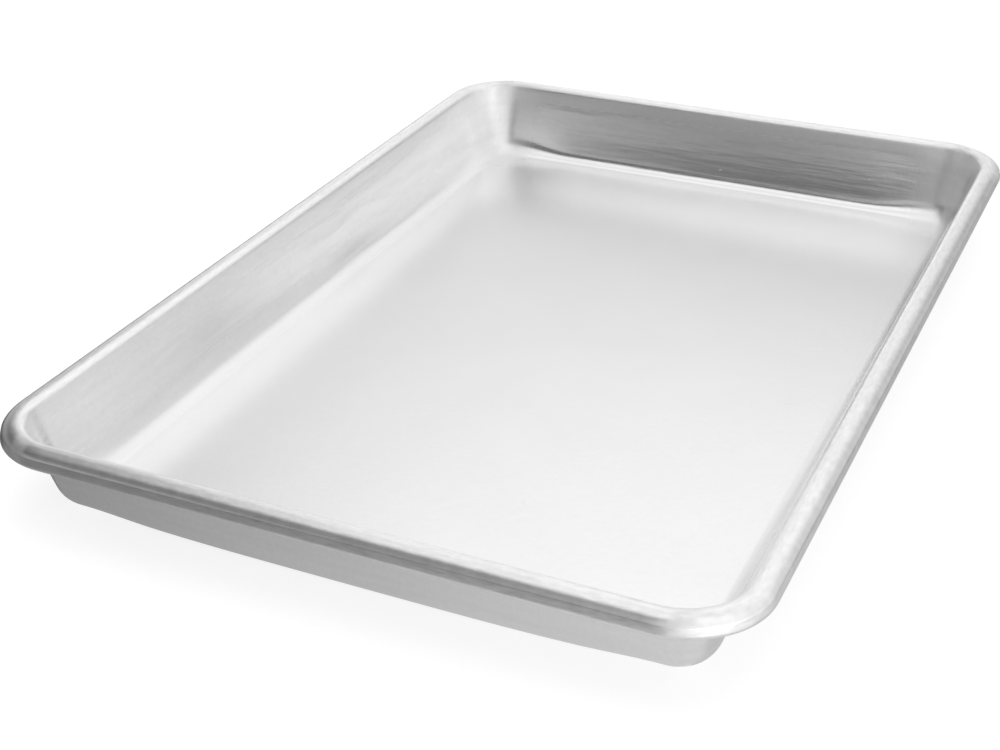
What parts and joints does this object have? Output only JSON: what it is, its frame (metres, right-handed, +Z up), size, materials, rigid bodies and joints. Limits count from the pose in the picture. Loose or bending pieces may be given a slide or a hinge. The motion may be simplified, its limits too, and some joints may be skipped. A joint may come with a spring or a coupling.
{
  "type": "jelly roll pan",
  "caption": "Shallow rectangular baking pan drawn from one aluminium sheet, with leaning walls, round corners and a rim rolled over a steel wire.",
  "frame": {"origin": "centre of the pan's underside, on the surface it stands on", "axes": "+Z up out of the pan, +X across its width, +Y along its length"},
  "size_m": [0.305, 0.457, 0.038],
  "materials": {
    "drawn_aluminium": "satin",
    "galvanised_wire": "satin"
  },
  "bodies": {
    "root": {"pan_body": "drawn_aluminium", "rim_wire": "galvanised_wire"}
  },
  "joints": []
}
